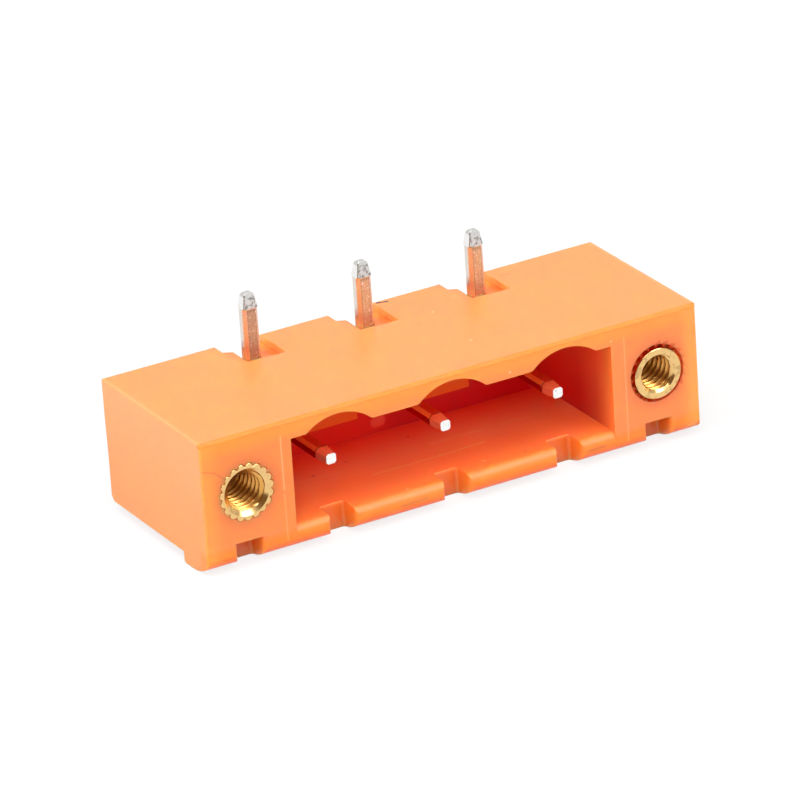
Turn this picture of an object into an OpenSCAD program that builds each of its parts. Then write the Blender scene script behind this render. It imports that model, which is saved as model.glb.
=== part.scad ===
// Pluggable terminal block header: a moulded housing, three bent contact pins and two threaded inserts.
// Millimetres. X runs along the row of poles, the plug enters from -Y, the board lies on the top face (+Z).

/* [Poles] */
// Distance between neighbouring contact pins
pitch = 7.62; // [7.2:0.01:10.16]
// Distance from an outer contact pin to the screw insert beside it
insert_offset = 6.14; // [5.6:0.01:9]
// Distance from a screw insert's axis to the end face
end_margin = 2.84; // [2.4:0.01:5]
// Distance from the board face down to the axes of the pins and inserts
axis_drop = 3.68; // [3.6:0.01:3.95]

/* [Housing] */
// Depth of the housing from its front to its rear face
depth = 12; // [11.8:0.1:16]
// Least thickness of the wall between the socket and the board face, beside the side walls
roof_t = 1.18; // [1:0.01:1.4]
// Clear height of the socket beside its side walls
socket_h = 5.52; // [5:0.01:7]
// How much lower the socket's ceiling lies between the arches
land_drop = 0.16; // [0.02:0.01:0.3]
// Thickness of the wall under the socket, without the rail
floor_t = 1; // [0.9:0.01:2]
// Depth of the socket from the front face
socket_d = 8.6; // [7:0.1:8.7]
// Distance from an outer contact pin to the side wall of the socket
socket_side = 3.1; // [2.9:0.01:3.4]
// Radius of the clearance arches over the contact pins
arch_r = 3.25; // [3:0.01:3.3]
// Radius where an arch runs out into the roof
arch_blend = 0.3; // [0.1:0.05:0.5]

/* [Rail and rounded edges] */
// Height of the foot rail below the housing
rail_h = 0.68; // [0.3:0.01:0.9]
// Depth of the foot rail from the front face
rail_d = 2.95; // [2.7:0.05:4]
// Small radius of the rail's nose, next to the front face
nose_r = 0.7; // [0.5:0.05:0.8]
// Large radius of the rail's nose, next to its lowest line
sole_r = 3.4; // [3:0.1:5]
// Distance from the front face to the rail's lowest line
sole_set = 2; // [1.6:0.1:2.3]
// Radius of the edge between the socket floor and the front face
lip_r = 0.55; // [0.2:0.05:0.6]
// Radius of the front edge of the board face
brow_r = 0.25; // [0.1:0.05:0.5]
// Radius of the rear edge of the board face and of the rail's rear edge
crest_r = 0.2; // [0.1:0.05:0.3]
// Radius of the lower rear edge
heel_r = 0.45; // [0.1:0.05:0.8]
// Radius of the four upright edges
post_r = 0.15; // [0.05:0.05:0.4]
// Height of the drafted upper band of the rear face
draft_h = 4.6; // [4:0.1:6]
// How far the rear face leans out over that band
draft = 0.2; // [0.05:0.05:0.3]

/* [Coding notches] */
// Width of a notch in the rail
notch_w = 1.65; // [1.2:0.05:2.4]
// Depth of a notch from the front face
notch_d = 1.55; // [1:0.05:1.8]
// Radius of a notch's edges at the front face
notch_mouth_r = 0.3; // [0.05:0.05:0.5]
// Radius of a notch's two inner corners
notch_root_r = 0.2; // [0.05:0.05:0.5]

/* [Contact pins] */
// Width of the contact wire along the row
pin_w = 1; // [0.6:0.05:1.2]
// Thickness of the contact wire in the plane of its bend
pin_t = 0.82; // [0.6:0.01:1]
// Radius of the wire's long edges
pin_edge_r = 0.22; // [0.05:0.01:0.26]
// Inside radius of the wire's bend
bend_r = 0.35; // [0.25:0.05:0.6]
// Distance from the front face back to the contact's tip
tip_set = 1.1; // [0.5:0.1:3]
// Length of the taper at the contact's tip
tip_l = 1; // [0.6:0.1:1.5]
// Width and height of the contact's end face
tip_w = 0.64; // [0.4:0.02:0.7]
// Distance from the rear face to the solder leg
leg_inset = 1.4; // [0.8:0.1:1.6]
// Height of the solder leg above the board face
leg_out = 3.7; // [3:0.1:5]
// Length of the taper at the solder leg's end
leg_tip_l = 1; // [0.6:0.1:1.5]
// Width of the solder leg's end
leg_tip_w = 0.55; // [0.3:0.05:0.6]
// Thickness of the solder leg's end
leg_tip_t = 0.5; // [0.3:0.05:0.55]
// Radius of the round crown on the solder leg's end
leg_crown = 0.42; // [0.36:0.02:0.6]

/* [Leg pockets] */
// Width of the pocket around a solder leg
pocket_w = 3.06; // [2.4:0.02:4]
// Depth of that pocket below the board face
pocket_h = 0.45; // [0.3:0.05:0.8]
// Distance from the solder leg forward to the pocket's front wall
pocket_front = 1.08; // [0.5:0.02:1.3]
// Depth of the flared mouth that the leg's channel has in the rear face
flare_d = 0.5; // [0.2:0.05:0.7]
// Width of that flared mouth at the rear face
flare_w = 2.9; // [2:0.1:4]

/* [Screw inserts] */
// Length of a threaded insert
insert_l = 6.5; // [5:0.1:8]
// Radius over the crests of the knurl
knurl_r = 1.78; // [1.75:0.01:2]
// Number of ridges in the knurl
knurl_count = 19; // [16:1:24]
// Depth of the grooves between the ridges
knurl_depth = 0.19; // [0.08:0.01:0.19]
// Angle that the first ridge stands above the horizontal
knurl_turn = 4.2; // [0:0.1:18]
// Radius of the plain pilot end
pilot_r = 1.58; // [1.5:0.01:1.58]
// Length of the plain pilot end
pilot_l = 1; // [0.6:0.1:1.5]
// Radius of the threaded bore, measured on the crests of the thread
thread_r = 1.03; // [0.8:0.01:1.2]
// Mouth radius of the countersink at the knurled end
sink_r = 1.42; // [1.3:0.01:1.5]
// Depth of that countersink
sink_h = 0.35; // [0.2:0.05:0.6]
// Width of the chamfer round the bore at the pilot end
mouth_c = 0.17; // [0.05:0.01:0.2]
// How far the right insert stands out of the front face
proud = 0.15; // [0.05:0.05:0.3]

/* [Fits] */
// Clearance on each side of a contact pin in its passage
pin_fit = 0.02; // [0.01:0.01:0.05]
// Clearance round a threaded insert in its seat
insert_fit = 0.02; // [0.01:0.01:0.05]

/* [Hidden] */
$fn = 64;
eps = 0.05;

height = rail_h + floor_t + socket_h + roof_t;
floor_z = rail_h + floor_t;
ceiling_z = floor_z + socket_h;
land_z = ceiling_z - land_drop;
axis_z = height - axis_drop;
pocket_z = height - pocket_h;
front_y = -depth / 2;
rear_y = depth / 2;
pin_x = [-pitch, 0, pitch];
insert_x = [-pitch - insert_offset, pitch + insert_offset];
half_length = pitch + insert_offset + end_margin;
socket_half = pitch + socket_side;

leg_y = rear_y - leg_inset - pin_t / 2;
bend_y = leg_y - pin_t / 2 - bend_r;
bend_z = axis_z + pin_t / 2 + bend_r;
slot_w = pin_w + 2 * pin_fit;
slot_z = axis_z - pin_t / 2 - pin_fit;

plastic = "darkorange";
tin = "silver";
brass = "goldenrod";

knurl_l = insert_l - pilot_l;
ridge_r = 0.8 * PI * knurl_r / knurl_count;

// Extrudes a Y-Z outline along X, centred on the middle pole
module along_x(length) {
    translate([-length / 2, 0, 0]) rotate([90, 0, 90]) linear_extrude(length) children();
}

// Extrudes an X-Z outline rearwards from a start in Y
module along_y(start, length) {
    translate([0, start + length, 0]) rotate([90, 0, 0]) linear_extrude(length) children();
}

// What a rounding takes off a square corner that lies at the origin of a body towards +X and +Y
module corner_sliver(r) {
    difference() {
        translate([-eps, -eps]) square(r + eps);
        translate([r, r]) circle(r);
    }
}

// What the rail's nose, a small arc running into a large one, takes off the lower front corner
module nose_sliver() {
    large = [sole_set, sole_r];
    small = [nose_r, sole_r - sqrt(pow(sole_r - nose_r, 2) - pow(sole_set - nose_r, 2))];
    touch = small + (small - large) * nose_r / (sole_r - nose_r);
    difference() {
        translate([-eps, -eps]) square([sole_set + eps, small[1] + eps]);
        intersection() {
            translate(large) circle(sole_r);
            polygon([large, touch, [touch[0], -eps], [sole_set, -eps]]);
        }
        translate(small) circle(nose_r);
        polygon([small, touch, large, [nose_r, sole_r]]);
    }
}

// The housing seen from its end, with its front towards -X
module body_profile() {
    difference() {
        union() {
            polygon([
                [front_y, rail_h], [rear_y - draft, rail_h], [rear_y - draft, height - draft_h],
                [rear_y, height], [front_y, height]
            ]);
            translate([front_y, 0]) square([rail_d, rail_h + eps]);
        }
        translate([front_y, 0]) nose_sliver();
        translate([front_y + rail_d, 0]) mirror([1, 0]) corner_sliver(crest_r);
        translate([front_y, height]) mirror([0, 1]) corner_sliver(brow_r);
        translate([rear_y, height]) rotate(180) corner_sliver(crest_r);
        translate([rear_y - draft, rail_h]) mirror([1, 0]) corner_sliver(heel_r);
    }
}

// The housing seen from above, with its upright edges rounded
module body_plan() {
    difference() {
        square([2 * half_length, depth], center = true);
        for (a = [0, 1], b = [0, 1])
            mirror([a, 0]) mirror([0, b]) translate([-half_length, front_y]) corner_sliver(post_r);
    }
}

// Half of an arch over a contact pin at the origin, blended into a ceiling that lies at a height
module half_arch(ceiling) {
    rise = ceiling - axis_z;
    reach = arch_r + arch_blend;
    blend = [sqrt(pow(reach, 2) - pow(rise + arch_blend, 2)), rise + arch_blend];
    intersection() {
        circle(arch_r);
        translate([-eps, rise - eps]) square([arch_r + eps, arch_r]);
    }
    difference() {
        polygon([[-eps, rise - eps], [blend[0], rise - eps], blend, blend * arch_r / reach]);
        translate(blend) circle(arch_blend);
    }
}

// Right half of the opening that the plug enters, seen from the front
module half_socket_outline() {
    translate([-eps, floor_z]) square([socket_half + eps, land_z - floor_z]);
    translate([pitch, land_z - eps]) square([socket_half - pitch, land_drop + eps]);
    translate([0, axis_z]) half_arch(land_z);
    translate([pitch, axis_z]) {
        half_arch(ceiling_z);
        mirror([1, 0]) half_arch(land_z);
    }
}

module socket() {
    for (side = [0, 1])
        mirror([side, 0]) along_y(front_y - eps, socket_d + eps) half_socket_outline();
    along_x(2 * socket_half) translate([front_y, floor_z]) mirror([0, 1]) corner_sliver(lip_r);
}

// A notch seen from above, with the front face along the X axis
module notch_plan() {
    difference() {
        translate([-notch_w / 2, -eps]) square([notch_w, notch_d + eps]);
        for (a = [0, 1]) mirror([a, 0]) translate([notch_w / 2, notch_d]) rotate(180) corner_sliver(notch_root_r);
    }
    for (a = [0, 1]) mirror([a, 0]) translate([notch_w / 2, 0]) corner_sliver(notch_mouth_r);
}

// Notches through the rail: those under the socket open into it, those under the inserts stop level with its floor
module coding_notches() {
    for (x = pin_x) translate([x, front_y, -eps]) linear_extrude(floor_z + 2 * eps) notch_plan();
    for (x = insert_x) translate([x, front_y, -eps]) linear_extrude(floor_z + eps) notch_plan();
}

// The bent contact's outline between the socket and the board face, widened by the clearance
module wire_passage() {
    fit_t = pin_t + 2 * pin_fit;
    back_y = front_y + socket_d - eps;
    translate([back_y, slot_z]) square([bend_y - back_y, fit_t]);
    translate([leg_y - fit_t / 2, bend_z]) square([fit_t, height - bend_z]);
    intersection() {
        difference() {
            translate([bend_y, bend_z]) circle(bend_r + pin_t + pin_fit);
            translate([bend_y, bend_z]) circle(bend_r - pin_fit);
        }
        translate([bend_y, slot_z]) square(bend_z - slot_z);
    }
}

// Passage, open rear channel, flared mouth and pocket for one contact pin
module pin_seat() {
    along_x(slot_w) {
        wire_passage();
        translate([leg_y, slot_z]) square([depth, height]);
    }
    translate([0, 0, slot_z]) linear_extrude(height)
        polygon([
            [-slot_w / 2, rear_y - flare_d], [-flare_w / 2, rear_y], [-flare_w / 2, rear_y + eps],
            [flare_w / 2, rear_y + eps], [flare_w / 2, rear_y], [slot_w / 2, rear_y - flare_d]
        ]);
    translate([-pocket_w / 2, leg_y - pin_t / 2 - pocket_front, pocket_z]) cube([pocket_w, depth, height]);
}

// The cross-section of the contact wire, lying flat
module wire_section() {
    difference() {
        square([pin_w, pin_t], center = true);
        for (a = [0, 1], b = [0, 1])
            mirror([a, 0]) mirror([0, b])
                translate([-pin_w / 2, -pin_t / 2]) corner_sliver(pin_edge_r);
    }
}

// One side of a wire's tapered end, standing on the X axis, with an optional round crown
module taper_outline(base_w, end_w, length, crown) {
    intersection() {
        polygon([[-base_w / 2, 0], [base_w / 2, 0], [end_w / 2, length], [-end_w / 2, length]]);
        union() {
            translate([0, length - crown]) circle(crown);
            translate([-base_w, -eps]) square([2 * base_w, length - crown + eps]);
        }
    }
}

// A wire's end that tapers on all four sides
module tapered_end(end_w, end_t, length, crown) {
    intersection() {
        linear_extrude(length) wire_section();
        along_y(-pin_t, 2 * pin_t) taper_outline(pin_w, end_w, length, crown);
        along_x(2 * pin_w) taper_outline(pin_t, end_t, length, crown);
    }
}

// One contact: a wire with rounded edges that is bent up through a right angle
module contact_pin() {
    tip_y = front_y + tip_set + tip_l;
    leg_top = height + leg_out - leg_tip_l;
    translate([0, tip_y, axis_z]) rotate([90, 0, 0]) tapered_end(tip_w, tip_w, tip_l, 0);
    translate([0, bend_y, axis_z]) rotate([90, 0, 0]) linear_extrude(bend_y - tip_y) wire_section();
    translate([0, bend_y, bend_z]) rotate([90, 0, 90]) rotate(-90)
        rotate_extrude(angle = 90) translate([bend_r + pin_t / 2, 0]) rotate(90) wire_section();
    translate([0, leg_y, bend_z]) linear_extrude(leg_top - bend_z) wire_section();
    translate([0, leg_y, leg_top]) tapered_end(leg_tip_w, leg_tip_t, leg_tip_l, leg_crown);
}

// The knurl seen from its end, widened by a clearance
module knurl_outline(fit) {
    circle(knurl_r - knurl_depth + fit);
    for (i = [0 : knurl_count - 1])
        rotate(knurl_turn + i * 360 / knurl_count) translate([knurl_r - ridge_r, 0]) circle(ridge_r + fit);
}

// A threaded insert whose knurled end is at the origin and whose pilot end points rearwards
module threaded_insert() {
    difference() {
        union() {
            along_y(0, knurl_l) knurl_outline(0);
            along_y(0, insert_l) circle(pilot_r);
        }
        along_y(-eps, insert_l + 2 * eps) circle(thread_r);
        rotate([-90, 0, 0]) cylinder(h = sink_h, r1 = sink_r, r2 = thread_r);
        translate([0, insert_l, 0]) rotate([90, 0, 0]) cylinder(h = mouth_c, r1 = thread_r + mouth_c, r2 = thread_r);
    }
}

// The left insert is pressed in flush, pilot end first, so that its knurl shows
module left_insert_seat() {
    along_y(front_y - eps, knurl_l + eps) knurl_outline(insert_fit);
    along_y(front_y - eps, insert_l + eps) circle(pilot_r + insert_fit);
}

// The right insert is pressed in knurled end first and a little less deep, so its hole is serrated up to the front face
module right_insert_seat() {
    along_y(front_y - eps, insert_l - proud + eps) knurl_outline(insert_fit);
}

module housing() {
    color(plastic) difference() {
        intersection() {
            along_x(2 * half_length) body_profile();
            linear_extrude(height) body_plan();
        }
        socket();
        coding_notches();
        for (x = pin_x) translate([x, 0, 0]) pin_seat();
        translate([insert_x[0], 0, axis_z]) left_insert_seat();
        translate([insert_x[1], 0, axis_z]) right_insert_seat();
    }
}

module pin_left() {
    color(tin) translate([pin_x[0], 0, 0]) contact_pin();
}

module pin_middle() {
    color(tin) translate([pin_x[1], 0, 0]) contact_pin();
}

module pin_right() {
    color(tin) translate([pin_x[2], 0, 0]) contact_pin();
}

module insert_left() {
    color(brass) translate([insert_x[0], front_y, axis_z]) threaded_insert();
}

module insert_right() {
    color(brass) translate([insert_x[1], front_y - proud + insert_l, axis_z]) mirror([0, 1, 0]) threaded_insert();
}

housing();
pin_left();
pin_middle();
pin_right();
insert_left();
insert_right();
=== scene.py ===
"""Looks of a three-pole pluggable terminal block header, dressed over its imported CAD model.

The housing keeps its CAD solid and gets a moulded plastic finish. The bent contact pins and the
threaded brass inserts are rebuilt with finer shapes, in the places where the CAD has them.
All sizes in the classes are in millimetres; meshes are written in metres.
"""

import logging
import math
from dataclasses import dataclass
from enum import Enum
from typing import Sequence, Union

import bmesh
import bpy
from mathutils import Matrix, Vector


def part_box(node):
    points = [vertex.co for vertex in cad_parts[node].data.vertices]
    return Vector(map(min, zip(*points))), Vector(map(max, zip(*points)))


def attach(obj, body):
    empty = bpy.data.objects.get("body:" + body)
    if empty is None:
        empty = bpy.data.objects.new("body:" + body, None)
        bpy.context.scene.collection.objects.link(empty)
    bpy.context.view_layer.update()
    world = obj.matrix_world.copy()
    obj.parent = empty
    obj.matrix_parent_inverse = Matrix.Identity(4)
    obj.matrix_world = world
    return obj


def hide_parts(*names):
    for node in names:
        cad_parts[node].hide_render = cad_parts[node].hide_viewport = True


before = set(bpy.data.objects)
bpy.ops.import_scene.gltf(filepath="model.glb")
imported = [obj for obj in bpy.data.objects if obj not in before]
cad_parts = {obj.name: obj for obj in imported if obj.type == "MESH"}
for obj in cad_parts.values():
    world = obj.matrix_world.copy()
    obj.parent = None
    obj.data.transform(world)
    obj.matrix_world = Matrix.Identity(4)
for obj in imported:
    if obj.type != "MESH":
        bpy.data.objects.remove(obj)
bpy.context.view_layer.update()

MM = 0.001
WHITE = (1.0, 1.0, 1.0)
ORIGIN = (0.0, 0.0, 0.0)
EVEN = (1.0, 1.0, 1.0)
Rgb = tuple[float, float, float]
Point = tuple[float, float, float]
Band = tuple[float, float]
Stops = tuple[tuple[float, Rgb], ...]
Socket = bpy.types.NodeSocket
Input = Union[float, Sequence[float], Socket]

logging.basicConfig(level=logging.INFO, format="%(message)s")
log = logging.getLogger("terminal_block")


class Slot(Enum):
    """Material slots that the part's record names."""

    HOUSING = "housing"
    CONTACT = "contact"
    INSERT = "insert"


class InsertEnd(Enum):
    """Which end of a threaded insert faces the front of the housing."""

    KNURLED = "knurled end out"
    PILOT = "plain end out"


@dataclass(frozen=True)
class Mark:
    """A fine line, smudge or speck that runs between two points of a surface, in millimetres."""

    start: Point
    end: Point
    width: float
    colour: Rgb
    share: float
    soft: float = 0.04


def speck(spot: Point, width: float, colour: Rgb, share: float) -> Mark:
    """A mark that stays at one point."""
    return Mark(spot, spot, width, colour, share)


def rgba(colour: Rgb) -> tuple[float, float, float, float]:
    """Linear colour with an alpha of 1."""
    return (*colour, 1.0)


def show(name: str, data: bpy.types.ID) -> bpy.types.Object:
    """Makes an object of a mesh, lamp or camera and links it to the scene.

    Args:
        name: the object's name.
        data: what it shows.

    Returns:
        The object.
    """
    shown = bpy.data.objects.new(name, data)
    bpy.context.scene.collection.objects.link(shown)
    return shown


def direction(azimuth: float, elevation: float) -> Vector:
    """Direction for an azimuth from the front face and an elevation, in degrees."""
    a = math.radians(azimuth)
    e = math.radians(elevation)
    return Vector((math.sin(a) * math.cos(e), -math.cos(a) * math.cos(e), math.sin(e)))


class NodeSheet:
    """The node tree of a material or a world, filled in one node at a time."""

    def __init__(self, name: str, world: bool = False) -> None:
        """Starts an empty material or world.

        Args:
            name: its name.
            world: whether it is a world.
        """
        self.owner = (bpy.data.worlds if world else bpy.data.materials).new(name)
        self.owner.use_nodes = True
        self.tree = self.owner.node_tree
        self.tree.nodes.clear()
        self.output = self.add("ShaderNodeOutputWorld" if world else "ShaderNodeOutputMaterial")

    def add(self, kind: str, **settings: object) -> bpy.types.Node:
        """Adds a node.

        Args:
            kind: Blender's name of the node's type.
            settings: properties to set on the node.

        Returns:
            The new node.
        """
        node = self.tree.nodes.new(kind)
        for key, value in settings.items():
            setattr(node, key, value)
        return node

    def feed(self, socket: Socket, value: Input) -> None:
        """Links an output to a socket, or sets the socket's own value.

        Args:
            socket: the input to feed.
            value: an output socket or a constant.
        """
        if isinstance(value, Socket):
            self.tree.links.new(value, socket)
        else:
            socket.default_value = value

    def maths(self, operation: str, *values: Input) -> Socket:
        """Adds a Math node.

        Args:
            operation: Blender's name of the operation.
            values: what goes in, in order.

        Returns:
            The node's output.
        """
        node = self.add("ShaderNodeMath", operation=operation)
        for socket, value in zip(node.inputs, values):
            self.feed(socket, value)
        return node.outputs[0]

    def product(self, *values: Input) -> Socket:
        """Product of one or more values."""
        made = values[0]
        for value in values[1:]:
            made = self.maths("MULTIPLY", made, value)
        return made

    def less(self, a: Input, b: Input) -> Socket:
        """First value less the second."""
        return self.maths("SUBTRACT", a, b)

    def reach(self, a: Input, b: Input) -> Socket:
        """Length of a line that goes a one way and b across it."""
        return self.maths("SQRT", self.maths("ADD", self.product(a, a), self.product(b, b)))

    def step(self, value: Input, low: float, high: float) -> Socket:
        """Rises smoothly from 0 at low to 1 at high; low may be the larger one.

        Args:
            value: the value to test.
            low: where the result is 0.
            high: where the result is 1.

        Returns:
            The share from 0 to 1.
        """
        node = self.add("ShaderNodeMapRange", interpolation_type="SMOOTHSTEP")
        self.feed(node.inputs["Value"], value)
        limits = (low, high, 0.0, 1.0) if low <= high else (high, low, 1.0, 0.0)
        for name, limit in zip(("From Min", "From Max", "To Min", "To Max"), limits):
            node.inputs[name].default_value = limit
        return node.outputs["Result"]

    def within(self, value: Input, low: float, high: float, soft: float) -> Socket:
        """Is 1 between low and high and fades to 0 over soft outside them.

        Args:
            value: the value to test.
            low: lower limit.
            high: upper limit.
            soft: width of the fade.

        Returns:
            The share from 0 to 1.
        """
        return self.product(self.step(value, low - soft, low), self.step(value, high + soft, high))

    def blend(self, share: Input, a: Input, b: Input) -> Socket:
        """Mixes two colours.

        Args:
            share: share of the second colour.
            a: first colour.
            b: second colour.

        Returns:
            The mixed colour.
        """
        node = self.add("ShaderNodeMix", data_type="RGBA", clamp_factor=True)
        self.feed(node.inputs[0], share)
        self.feed(node.inputs[6], rgba(a) if isinstance(a, tuple) else a)
        self.feed(node.inputs[7], rgba(b) if isinstance(b, tuple) else b)
        return node.outputs[2]

    def ramp(self, share: Input, stops: Sequence[tuple[float, Rgb]]) -> Socket:
        """Colour that changes along a row of stops.

        Args:
            share: place along the row, from 0 to 1.
            stops: places and colours, in order.

        Returns:
            The colour.
        """
        node = self.add("ShaderNodeValToRGB")
        self.feed(node.inputs[0], share)
        row = node.color_ramp.elements
        for place, colour in stops[1:-1]:
            row.new(place).color = rgba(colour)
        row[0].position, row[0].color = stops[0][0], rgba(stops[0][1])
        row[-1].position, row[-1].color = stops[-1][0], rgba(stops[-1][1])
        return node.outputs[0]

    def pair(self, operation: str, a: Input, b: Input) -> bpy.types.Node:
        """Adds a Vector Math node that takes two vectors."""
        node = self.add("ShaderNodeVectorMath", operation=operation)
        self.feed(node.inputs[0], a)
        self.feed(node.inputs[1], b)
        return node

    def stroke(self, spot: Socket, mark: Mark) -> Socket:
        """Share of a mark at a point: full on the mark's line and none beside it.

        Args:
            spot: the point, in millimetres.
            mark: the mark.

        Returns:
            The share from 0 to the mark's own share.
        """
        run = Vector(mark.end) - Vector(mark.start)
        way = self.pair("SUBTRACT", spot, mark.start).outputs["Vector"]
        if run.length > 0.0:
            along = self.pair("DOT_PRODUCT", way, run / run.length_squared).outputs["Value"]
            held = self.add("ShaderNodeClamp")
            self.feed(held.inputs["Value"], along)
            reach = self.add("ShaderNodeVectorMath", operation="SCALE")
            self.feed(reach.inputs[0], run)
            self.feed(reach.inputs["Scale"], held.outputs[0])
            away = self.pair("DISTANCE", way, reach.outputs["Vector"]).outputs["Value"]
        else:
            away = self.add("ShaderNodeVectorMath", operation="LENGTH")
            self.feed(away.inputs[0], way)
            away = away.outputs["Value"]
        near = self.step(away, mark.width / 2 + mark.soft, mark.width / 2)
        return self.product(near, mark.share)

    def place(self, stretch: Point = EVEN, shift: Point = ORIGIN) -> Socket:
        """Object coordinates in millimetres, shifted and then stretched.

        Args:
            stretch: scale along each axis.
            shift: what is taken off first, in millimetres.

        Returns:
            The vector.
        """
        where = self.add("ShaderNodeTexCoord").outputs["Object"]
        node = self.add("ShaderNodeMapping", vector_type="POINT")
        self.feed(node.inputs["Vector"], where)
        node.inputs["Scale"].default_value = [s / MM for s in stretch]
        node.inputs["Location"].default_value = [-a * s for a, s in zip(shift, stretch)]
        return node.outputs[0]

    def axes(self, vector: Socket) -> list[Socket]:
        """X, Y and Z of a vector."""
        node = self.add("ShaderNodeSeparateXYZ")
        self.feed(node.inputs[0], vector)
        return list(node.outputs)

    def facing(self) -> list[Socket]:
        """X, Y and Z of the surface's own direction."""
        return self.axes(self.add("ShaderNodeNewGeometry").outputs["Normal"])

    def noise(
        self, vector: Input, scale: float, detail: float = 2.0, roughness: float = 0.5
    ) -> Socket:
        """Soft noise from 0 to 1.

        Args:
            vector: where the noise is read.
            scale: waves per unit.
            detail: octaves.
            roughness: how much the finer octaves count.

        Returns:
            The noise value.
        """
        node = self.add("ShaderNodeTexNoise")
        self.feed(node.inputs["Vector"], vector)
        node.inputs["Scale"].default_value = scale
        node.inputs["Detail"].default_value = detail
        node.inputs["Roughness"].default_value = roughness
        return node.outputs["Fac"]

    def relief(self, height: Input, depth: float, under: Input = None) -> Socket:
        """Bump of a depth in millimetres for heights from 0 to 1.

        Args:
            height: the height map.
            depth: how deep the relief is, in millimetres.
            under: the normal that it is added to.

        Returns:
            The bumped normal.
        """
        node = self.add("ShaderNodeBump")
        node.inputs["Strength"].default_value = 1.0
        node.inputs["Distance"].default_value = depth * MM
        self.feed(node.inputs["Height"], height)
        if under is not None:
            self.feed(node.inputs["Normal"], under)
        return node.outputs[0]

    def soft_edges(self, radius: float) -> Socket:
        """Normal that rounds the edges over a radius in millimetres."""
        node = self.add("ShaderNodeBevel", samples=6)
        node.inputs["Radius"].default_value = radius * MM
        return node.outputs[0]

    def shader(self, **values: Input) -> None:
        """Adds the Principled shader and joins it to the output.

        Args:
            values: sockets by name, with _ for a space.
        """
        node = self.add("ShaderNodeBsdfPrincipled")
        for key, value in values.items():
            self.feed(node.inputs[key.replace("_", " ")], value)
        self.tree.links.new(node.outputs[0], self.output.inputs["Surface"])


class Surface(NodeSheet):
    """The nodes of a finish of the part: the places that it goes by and the colour laid so far."""

    def __init__(self, name: str, block: "Block", colour: Rgb) -> None:
        """Starts the material with one colour all over.

        Args:
            name: the material's name.
            block: the places that the finish goes by.
            colour: the colour that the others are laid on.
        """
        super().__init__(name)
        self.block = block
        self.colour = colour
        self.spot = self.place()
        self.x, self.y, self.z = self.axes(self.spot)
        self.nx, self.ny, self.nz = self.facing()
        self.side = self.maths("ABSOLUTE", self.x)

    def tint(self, colour: Input, *shares: Input) -> None:
        """Lays a colour on the one so far, by the product of the shares."""
        self.colour = self.blend(self.product(*shares), self.colour, colour)

    def behind_front(self, low: float, high: float) -> Socket:
        """Step of how far a point lies behind the front face."""
        return self.step(self.y, self.block.front + low, self.block.front + high)


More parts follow.
